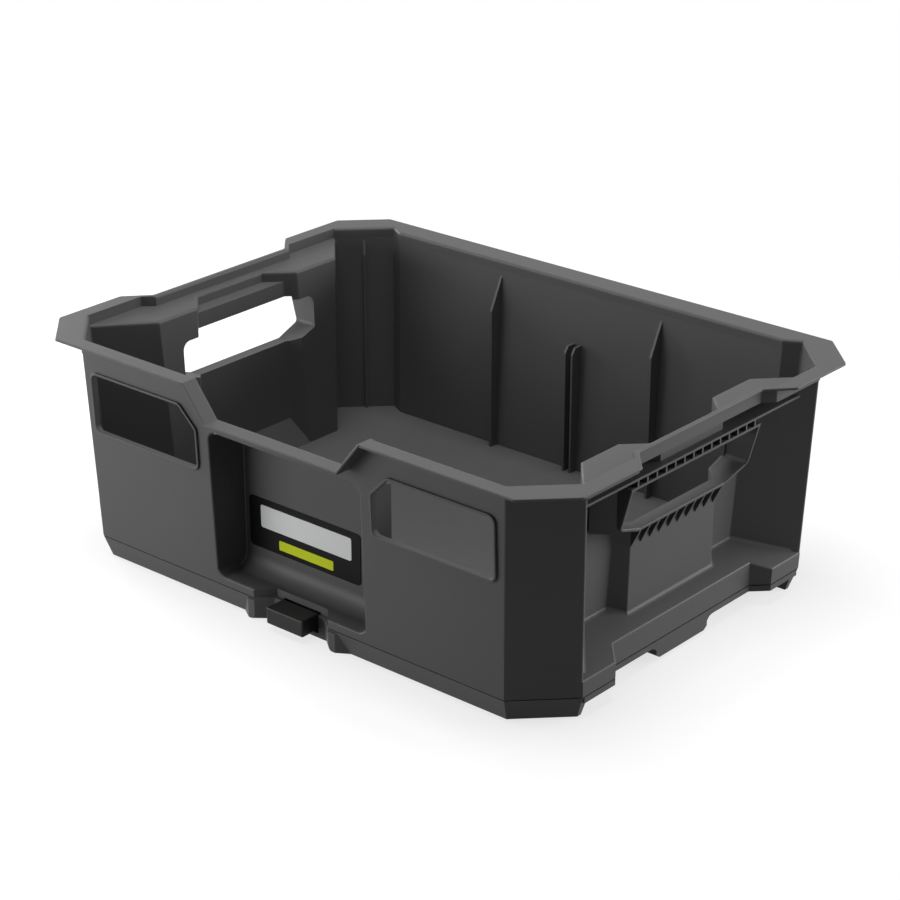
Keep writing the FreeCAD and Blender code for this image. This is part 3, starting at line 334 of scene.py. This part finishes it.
def moulded_grain(name):
    """Moulded plastic: fine blasted grain, faint flow clouds and a roughness that follows them."""
    tree, given, where = new_effect(name, Colour="Color", Cloud="Float", Grain_Size="Float",
                                    Roughness="Float")
    scale = maths(tree, "DIVIDE", 1.0, given["Grain Size"])
    fine = noise(tree, where, scale, detail=3.0, rough=0.6)
    cells = add_node(tree, "ShaderNodeTexVoronoi", Vector=where, Scale=times(tree, scale, CELL_SHARE))
    cloud = noise(tree, where, CLOUD_SCALE, detail=4.0, rough=0.55)
    flow = noise(tree, where, FLOW_SCALE, detail=2.0, rough=0.5)
    clouds = plus(tree, minus(tree, cloud, NOISE_MIDDLE), off_middle(tree, flow, FLOW_SHARE))
    spread = plus(tree, times(tree, clouds, given["Cloud"]), off_middle(tree, fine, SPECK_SPREAD))
    shade = scaled(tree, given["Colour"], plus(tree, spread, 1.0))
    rough = plus(tree, given["Roughness"], off_middle(tree, cloud, CLOUD_ROUGHNESS))
    rough = maths(tree, "ADD", rough, off_middle(tree, fine, FINE_ROUGHNESS), clamp=True)
    height = plus(tree, times(tree, fine, FINE_HEIGHT), times(tree, cells.outputs[0], CELL_HEIGHT))
    return put_out(tree, shade, rough, height)


def drawn_lines(name):
    """Drawn metal: fine lines along one direction, over dull patches."""
    tree, given, where = new_effect(name, Colour="Color", Stretch="Vector", Roughness="Float")
    turned = add_node(tree, "ShaderNodeMapping", Vector=where, Scale=given["Stretch"])
    lines = noise(tree, turned, DRAWN_SCALE, detail=3.0, rough=0.6)
    dull = noise(tree, where, DULL_SCALE, detail=3.0, rough=0.5)
    bright = maths(tree, "MULTIPLY", plus(tree, lines, dull), DRAWN_SHARE, clamp=True)
    level = plus(tree, times(tree, bright, 1.0 - DULL_COLOUR), DULL_COLOUR)
    rough = plus(tree, given["Roughness"], off_middle(tree, lines, DRAWN_ROUGHNESS))
    return put_out(tree, scaled(tree, given["Colour"], level), rough, lines)


def printed_ink(name):
    """Printed film: even ink with specks and a faint orange-peel."""
    tree, given, where = new_effect(name, Colour="Color", Speck="Float", Roughness="Float")
    peel = noise(tree, where, PEEL_SCALE, detail=2.0, rough=0.5)
    ink = noise(tree, where, INK_SCALE, detail=2.0, rough=0.6)
    speck = times(tree, ramp(tree, ink, INK_LOW, INK_HIGH, 1.0, 0.0), given["Speck"])
    rough = plus(tree, given["Roughness"], off_middle(tree, peel, PEEL_ROUGHNESS))
    return put_out(tree, scaled(tree, given["Colour"], minus(tree, 1.0, speck)), rough, peel)


def rgba(values):
    """Colour with its alpha."""
    return (*values, 1.0)


def material(name):
    """New node material; gives it, its tree and its main shader."""
    made = bpy.data.materials.new(name)
    made.use_nodes = True
    return made, made.node_tree, made.node_tree.nodes["Principled BSDF"]


def effect_material(name, effect, depth, strength, **values):
    """Material of a shared effect with its own values and bump; gives it and its main shader."""
    made, tree, shader = material(name)
    node = tree.nodes.new("ShaderNodeGroup")
    node.node_tree = bpy.data.node_groups.get(effect.__name__) or effect(effect.__name__)
    for key, value in values.items():
        plug(tree, node, key.replace("_", " "), value)
    bump = add_node(tree, "ShaderNodeBump", Height=node.outputs["Height"], Distance=depth, Strength=strength)
    tree.links.new(node.outputs["Colour"], shader.inputs["Base Color"])
    tree.links.new(node.outputs["Roughness"], shader.inputs["Roughness"])
    tree.links.new(bump.outputs[0], shader.inputs["Normal"])
    return made, shader


def plastic(name, base, roughness, finish):
    """Moulded plastic with grain and faint flow clouds."""
    made, shader = effect_material(name, moulded_grain, finish.grain_depth, GRAIN_STRENGTH,
                                   Colour=rgba(base), Cloud=finish.cloud, Grain_Size=finish.grain,
                                   Roughness=roughness)
    shader.inputs["Specular IOR Level"].default_value = finish.shine
    return made


def drawn_metal(name, base, roughness, stretch):
    """Metal with fine drawn lines along one direction."""
    made, shader = effect_material(name, drawn_lines, DRAWN_DEPTH, DRAWN_STRENGTH, Colour=rgba(base),
                                   Stretch=stretch, Roughness=roughness)
    shader.inputs["Metallic"].default_value = 1.0
    return made


def print_film(name, base, roughness, speck, finish):
    """Printed film with even ink."""
    made, shader = effect_material(name, printed_ink, PEEL_DEPTH, PEEL_STRENGTH, Colour=rgba(base),
                                   Speck=speck, Roughness=roughness)
    shader.inputs["Specular IOR Level"].default_value = finish.film_shine
    return made


def dress(names, finish):
    """Gives CAD nodes a material."""
    for name in names:
        mesh = frame["nodes"][name].data
        mesh.materials.clear()
        mesh.materials.append(finish)


def finish_piece(piece, body):
    """Puts a new piece on its body."""
    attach(piece, body)


class CRATE_OT_moulding(Operator):
    """Dress the walls, floor, grips and rim in moulded plastic."""
    bl_idname = "crate.moulding"
    bl_label = "Crate moulding"

    def execute(self, context):
        finish = context.scene.crate_finish
        charcoal = plastic("charcoal_moulding", finish.moulding, finish.roughness, finish)
        dress(nodes_of("body_plastic"), charcoal)
        return {"FINISHED"}


class CRATE_OT_base(Operator):
    """Dress the base frame and the latch cover."""
    bl_idname = "crate.base"
    bl_label = "Base frame"

    def execute(self, context):
        finish = context.scene.crate_finish
        charcoal = plastic("charcoal_base", finish.base, finish.roughness, finish)
        dress(nodes_of("base_plastic"), charcoal)
        return {"FINISHED"}


class CRATE_OT_latch(Operator):
    """Dress the release button and its bolt in black plastic."""
    bl_idname = "crate.latch"
    bl_label = "Release latch"

    def execute(self, context):
        finish = context.scene.crate_finish
        black = plastic("black_latch", finish.latch, finish.latch_roughness, finish)
        dress(nodes_of("latch_plastic"), black)
        return {"FINISHED"}


class CRATE_OT_springs(Operator):
    """Dress the return springs in drawn steel."""
    bl_idname = "crate.springs"
    bl_label = "Return springs"

    def execute(self, context):
        finish = context.scene.crate_finish
        wire = drawn_metal("drawn_spring_wire", finish.spring, finish.spring_roughness, WIRE_STRETCH)
        dress(nodes_of("spring_steel"), wire)
        return {"FINISHED"}


def screw_inputs(tree):
    """Sockets of the screws' geometry tree; gives its inputs' identifiers."""
    add_socket(tree, "Geometry", "Geometry", out=True)
    ids = {}
    for name in ("Head Radius", "Head Height", "Edge Share", "Neck Share", "Shank Radius", "Shank Length",
                 "Pitch", "Thread Depth", "Recess", "Spacing X", "Spacing Y", "Middle Y", "Face Z"):
        ids[name] = add_socket(tree, name, "Float")
    ids["Seed"] = add_socket(tree, "Seed", "Int")
    ids["Material"] = add_socket(tree, "Material", "Material")
    return ids


def turned_rod(tree, where, facets, radius, start, tall):
    """Cylinder of some sides and rings, whose radius and height follow fields."""
    x, y, along = where
    rod = add_node(tree, "GeometryNodeMeshCylinder", {"fill_type": "NGON"}, Vertices=facets[0],
                   Side_Segments=facets[1], Radius=1.0, Depth=1.0)
    place = add_node(tree, "ShaderNodeCombineXYZ", X=times(tree, x, radius), Y=times(tree, y, radius),
                     Z=plus(tree, times(tree, along, tall), start))
    return add_node(tree, "GeometryNodeSetPosition", Geometry=rod, Position=place).outputs[0]


def screw_head(tree, given, where):
    """Head that narrows to its face and its neck, with a cross recess."""
    along = where[2]
    edge = ramp(tree, along, 0.0, HEAD_MIDDLE, given["Edge Share"], 1.0)
    neck = add_node(tree, "ShaderNodeMapRange", in_0=along, in_1=0.0, in_2=1.0, in_3=1.0,
                    in_4=given["Neck Share"])
    radius = times(tree, given["Head Radius"], times(tree, edge, neck.outputs[0]))
    head = turned_rod(tree, where, (HEAD_SIDES, HEAD_RINGS), radius, 0.0, given["Head Height"])
    cutting = {"operation": "DIFFERENCE", "solver": "EXACT"}
    driven = add_node(tree, "GeometryNodeMeshBoolean", cutting, in_0=head)
    for turn in (0.0, math.pi / 2):
        long, wide, deep = [times(tree, given["Recess"], s) for s in (SLOT_LENGTH, SLOT_WIDTH, SLOT_DEPTH)]
        size = add_node(tree, "ShaderNodeCombineXYZ", X=long, Y=wide, Z=deep)
        slot = add_node(tree, "GeometryNodeMeshCube", Size=size)
        cut = add_node(tree, "GeometryNodeTransform", Geometry=slot, Rotation=(0.0, 0.0, turn))
        tree.links.new(cut.outputs[0], driven.inputs[1])
    return driven.outputs[0]


def screw_shank(tree, given, where):
    """Threaded shank with a narrowed tip."""
    x, y, along = where
    angle = maths(tree, "DIVIDE", maths(tree, "ARCTAN2", y, x), 2 * math.pi)
    turns = maths(tree, "DIVIDE", times(tree, along, given["Shank Length"]), given["Pitch"])
    saw = maths(tree, "FRACT", plus(tree, turns, plus(tree, angle, SPARE_TURNS)))
    valley = maths(tree, "ABSOLUTE", minus(tree, times(tree, saw, 2.0), 1.0))
    thread = minus(tree, given["Shank Radius"], times(tree, valley, given["Thread Depth"]))
    radius = times(tree, thread, ramp(tree, along, TIP_START, 1.0, 1.0, TIP_SHARE))
    facets = (SHANK_SIDES, SHANK_RINGS)
    return turned_rod(tree, where, facets, radius, given["Head Height"], given["Shank Length"])


def screw_tree():
    """Geometry tree of a grid of driven screws, heads down; gives it and its inputs' identifiers."""
    tree = bpy.data.node_groups.new("driven_screws", "GeometryNodeTree")
    ids = screw_inputs(tree)
    given = tree.nodes.new("NodeGroupInput").outputs
    here = add_node(tree, "ShaderNodeSeparateXYZ", Vector=tree.nodes.new("GeometryNodeInputPosition"))
    x, y, z = here.outputs
    where = (x, y, plus(tree, z, HALF_ROD))
    screw = tree.nodes.new("GeometryNodeJoinGeometry")
    for part in (screw_shank(tree, given, where), screw_head(tree, given, where)):
        tree.links.new(part, screw.inputs[0])
    grid = add_node(tree, "GeometryNodeMeshGrid", Size_X=given["Spacing X"], Size_Y=given["Spacing Y"],
                    Vertices_X=2, Vertices_Y=2)
    shift = add_node(tree, "ShaderNodeCombineXYZ", X=0.0, Y=given["Middle Y"], Z=given["Face Z"])
    spots = add_node(tree, "GeometryNodeSetPosition", Geometry=grid.outputs[0], Offset=shift)
    spin = add_node(tree, "FunctionNodeRandomValue", {"data_type": "FLOAT"}, in_2=0.0, in_3=math.pi,
                    Seed=given["Seed"])
    turned = add_node(tree, "ShaderNodeCombineXYZ", X=0.0, Y=0.0, Z=spin.outputs[1])
    placed = add_node(tree, "GeometryNodeInstanceOnPoints", Points=spots, Instance=screw, Rotation=turned)
    solid = add_node(tree, "GeometryNodeRealizeInstances", Geometry=placed)
    painted = add_node(tree, "GeometryNodeSetMaterial", Geometry=solid, Material=given["Material"])
    return put_out(tree, painted.outputs[0]), ids


def grown(name, tree, ids, values):
    """Plain mesh object from a geometry tree with its inputs set."""
    carrier = bpy.data.objects.new(name + "_carrier", bpy.data.meshes.new(name + "_carrier"))
    bpy.context.scene.collection.objects.link(carrier)
    modifier = carrier.modifiers.new("tree", "NODES")
    modifier.node_group = tree
    for key, value in values.items():
        modifier[ids[key]] = value
    bpy.context.view_layer.update()
    view = bpy.context.evaluated_depsgraph_get()
    mesh = bpy.data.meshes.new_from_object(carrier.evaluated_get(view))
    bpy.data.objects.remove(carrier)
    mesh.name = name
    # The cut of the recess leaves an empty material slot, so the slots are set anew
    mesh.materials.clear()
    mesh.materials.append(values["Material"])
    piece = bpy.data.objects.new(name, mesh)
    bpy.context.scene.collection.objects.link(piece)
    if not mesh.polygons:
        raise RuntimeError("no screws were made for " + name)
    return piece


class CRATE_OT_screws(Operator):
    """Drive the cover screws and the base screws, with cross recesses and threads."""
    bl_idname = "crate.screws"
    bl_label = "Screws"

    def execute(self, context):
        sizes, finish = context.scene.crate_screws, context.scene.crate_finish
        zinc = drawn_metal("zinc_plating", finish.zinc, finish.zinc_roughness, ZINC_STRETCH)
        tree, ids = screw_tree()
        for kind, sunk in (("cover", True), ("base", False)):
            node = kind + "_screws"
            names = ("_head", "_shank", "_length", "_edge", "_tall", "_pitch")
            head, shank, long, edge, tall, pitch = [getattr(sizes, kind + name) for name in names]
            low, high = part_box(node)
            piece = grown("driven_" + node, tree, ids, {
                "Head Radius": head, "Head Height": tall, "Edge Share": edge,
                "Neck Share": shank / head if sunk else 1.0,
                "Shank Radius": shank, "Shank Length": long - tall, "Pitch": pitch,
                "Thread Depth": shank * sizes.thread, "Recess": head * sizes.recess,
                "Spacing X": high.x - low.x - 2 * head, "Spacing Y": high.y - low.y - 2 * head,
                "Middle Y": (low.y + high.y) / 2, "Face Z": low.z, "Seed": sizes.seed, "Material": zinc})
            finish_piece(piece, "crate")
            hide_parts(node)
        return {"FINISHED"}


def rounded_plate(name, x0, x1, z0, z1, rear, front, radius):
    """Thin upright plate with round corners and a softened front edge."""
    corners = ((x1 - radius, z1 - radius, 0), (x0 + radius, z1 - radius, 90),
               (x0 + radius, z0 + radius, 180), (x1 - radius, z0 + radius, 270))
    outline = []
    for cx, cz, start in corners:
        for step in range(CORNER_STEPS + 1):
            a = math.radians(start + step * 90 / CORNER_STEPS)
            outline.append((cx + radius * math.cos(a), cz + radius * math.sin(a)))
    soft = (rear - front) * SOFT_SHARE
    middle_x, middle_z = (x0 + x1) / 2, (z0 + z1) / 2
    form = bmesh.new()
    rings = []
    for depth, gap in ((rear, 0.0), (front + soft, 0.0), (front, soft)):
        ring = []
        for x, z in outline:
            in_x, in_z = math.copysign(gap, x - middle_x), math.copysign(gap, z - middle_z)
            ring.append(form.verts.new((x - in_x, depth, z - in_z)))
        rings.append(ring)
    for low, high in zip(rings, rings[1:]):
        for i in range(len(outline)):
            j = (i + 1) % len(outline)
            form.faces.new((low[i], low[j], high[j], high[i]))
    form.faces.new(rings[-1])
    form.faces.new(list(reversed(rings[0])))
    bmesh.ops.recalc_face_normals(form, faces=form.faces)
    mesh = bpy.data.meshes.new(name)
    form.to_mesh(mesh)
    form.free()
    piece = bpy.data.objects.new(name, mesh)
    bpy.context.scene.collection.objects.link(piece)
    return piece


class CRATE_OT_label(Operator):
    """Dress the label film, and lay a bare write-on strip and a short bar on it."""
    bl_idname = "crate.label"
    bl_label = "Front label"

    def execute(self, context):
        finish, sizes = context.scene.crate_finish, context.scene.crate_label
        film = print_film("black_label_film", finish.film, finish.film_roughness, finish.film_speck, finish)
        dress(nodes_of("label_film"), film)
        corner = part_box("front_label")[0]
        front = corner.y - sizes.thickness
        prints = {"label_write_on_strip": ("strip", "pale_ink"), "label_short_bar": ("bar", "lime_ink")}
        for name, (kind, ink) in prints.items():
            names = ("_left", "_width", "_low", "_top", "_corner")
            left, wide, low, top, radius = [getattr(sizes, kind + part) for part in names]
            left += corner.x
            piece = rounded_plate(name, left, left + wide, low, top, corner.y, front, radius)
            shade = getattr(finish, kind)
            print_ink = print_film(ink, shade, finish.ink_roughness, finish.ink_speck, finish)
            piece.data.materials.append(print_ink)
            finish_piece(piece, "crate")
        return {"FINISHED"}


def heading(azimuth, elevation):
    """Direction from the object, with azimuth 0 at the front and 90 degrees at the right end."""
    level = math.cos(elevation)
    return Vector((math.sin(azimuth) * level, -math.cos(azimuth) * level, math.sin(elevation)))


def aimed(thing, place, target):
    """Puts a camera or lamp at a place, looking at a target."""
    thing.location = place
    thing.rotation_euler = (Vector(target) - place).to_track_quat("-Z", "Y").to_euler()


def softbox(name, azimuth, elevation, distance, width, height, power):
    """Large soft lamp that the camera doesn't see."""
    lamp = bpy.data.lights.new(name, "AREA")
    lamp.shape = "RECTANGLE"
    lamp.size, lamp.size_y, lamp.energy = width, height, power
    thing = bpy.data.objects.new(name, lamp)
    bpy.context.scene.collection.objects.link(thing)
    away = heading(math.radians(azimuth), math.radians(elevation)) * distance
    aimed(thing, Vector(LAMP_TARGET) + away, LAMP_TARGET)
    thing.visible_camera = False


def seen_share(tree):
    """1 for rays that show a surface as itself: to the camera, in gloss and through glass."""
    path = tree.nodes.new("ShaderNodeLightPath").outputs
    mirrored = maths(tree, "MAXIMUM", path["Is Glossy Ray"], path["Is Transmission Ray"])
    return maths(tree, "MAXIMUM", path["Is Camera Ray"], mirrored)


def studio_world(level):
    """White where it is seen, and a weak even light on the object."""
    world = bpy.data.worlds.new("studio")
    bpy.context.scene.world = world
    world.use_nodes = True
    tree = world.node_tree
    back = tree.nodes["Background"]
    back.inputs[0].default_value = WHITE
    tree.links.new(plus(tree, times(tree, seen_share(tree), 1.0 - level), level), back.inputs[1])


def studio_floor():
    """Pale floor that keeps the shadow, turns white further out and throws little light back up."""
    form = bmesh.new()
    bmesh.ops.create_circle(form, cap_ends=True, segments=FLOOR_SIDES, radius=FLOOR_RADIUS)
    mesh = bpy.data.meshes.new("studio_floor")
    form.to_mesh(mesh)
    form.free()
    floor = bpy.data.objects.new("studio_floor", mesh)
    bpy.context.scene.collection.objects.link(floor)
    made, tree, shader = material("pale_floor")
    where = tree.nodes.new("ShaderNodeTexCoord").outputs["Object"]
    reach = add_node(tree, "ShaderNodeVectorMath", {"operation": "LENGTH"}, in_0=where).outputs["Value"]
    seen = seen_share(tree)
    lit = ramp(tree, reach, FADE_START, FADE_END, FLOOR_LIT, 0.0)
    glow = ramp(tree, reach, FADE_START, FADE_END, 1.0 - FLOOR_LIT, 1.0)
    base = times(tree, lit, ramp(tree, seen, 0.0, 1.0, FLOOR_BOUNCE, 1.0))
    grey = add_node(tree, "ShaderNodeCombineColor", Red=base, Green=base, Blue=base)
    tree.links.new(grey.outputs[0], shader.inputs["Base Color"])
    shader.inputs["Emission Color"].default_value = WHITE
    tree.links.new(times(tree, seen, glow), shader.inputs["Emission Strength"])
    shader.inputs["Roughness"].default_value = 1.0
    shader.inputs["Specular IOR Level"].default_value = 0.0
    mesh.materials.append(made)


class CRATE_OT_stage(Operator):
    """Set the floor, the soft lamps and the camera."""
    bl_idname = "crate.stage"
    bl_label = "Studio stage"

    def execute(self, context):
        stage, scene = context.scene.crate_stage, context.scene
        scene.view_settings.view_transform = "Standard"
        studio_floor()
        studio_world(stage.fill)
        for name, (level, *place) in LAMPS.items():
            softbox(name, *place, getattr(stage, level))
        camera = bpy.data.objects.new("camera", bpy.data.cameras.new("camera"))
        scene.collection.objects.link(camera)
        camera.data.lens, camera.data.sensor_width = stage.lens, SENSOR_WIDTH
        away = heading(stage.azimuth, stage.elevation) * stage.distance
        aimed(camera, Vector(stage.target) + away, stage.target)
        scene.camera = camera
        return {"FINISHED"}


class CRATE_PT_build(Panel):
    """Lists the steps that dress the crate."""
    bl_label = "Tool crate"
    bl_idname = "CRATE_PT_build"
    bl_space_type = "VIEW_3D"
    bl_region_type = "UI"
    bl_category = "Crate"

    def draw(self, context):
        for step in STEPS:
            self.layout.operator(step.bl_idname)
        for group in GROUPS:
            for name in getattr(context.scene, group).bl_rna.properties.keys():
                if name not in ("rna_type", "name"):
                    self.layout.prop(getattr(context.scene, group), name)


GROUPS = {"crate_finish": CrateFinish, "crate_screws": CrateScrews, "crate_label": CrateLabel,
          "crate_stage": CrateStage}
STEPS = (CRATE_OT_moulding, CRATE_OT_base, CRATE_OT_latch, CRATE_OT_springs, CRATE_OT_screws, CRATE_OT_label,
         CRATE_OT_stage)


def register():
    """Makes the property groups, the steps and the panel known."""
    for made in (*GROUPS.values(), *STEPS, CRATE_PT_build):
        bpy.utils.register_class(made)
    for name, made in GROUPS.items():
        setattr(bpy.types.Scene, name, PointerProperty(type=made))


def unregister():
    """Takes them away again."""
    for name in GROUPS:
        delattr(bpy.types.Scene, name)
    for made in (CRATE_PT_build, *reversed(STEPS), *reversed(list(GROUPS.values()))):
        bpy.utils.unregister_class(made)


def main():
    """Dresses the crate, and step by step."""
    register()
    bpy.ops.crate.moulding()
    bpy.ops.crate.base()
    bpy.ops.crate.latch()
    bpy.ops.crate.springs()
    bpy.ops.crate.screws()
    bpy.ops.crate.label()
    bpy.ops.crate.stage()


if __name__ == "__main__":
    main()
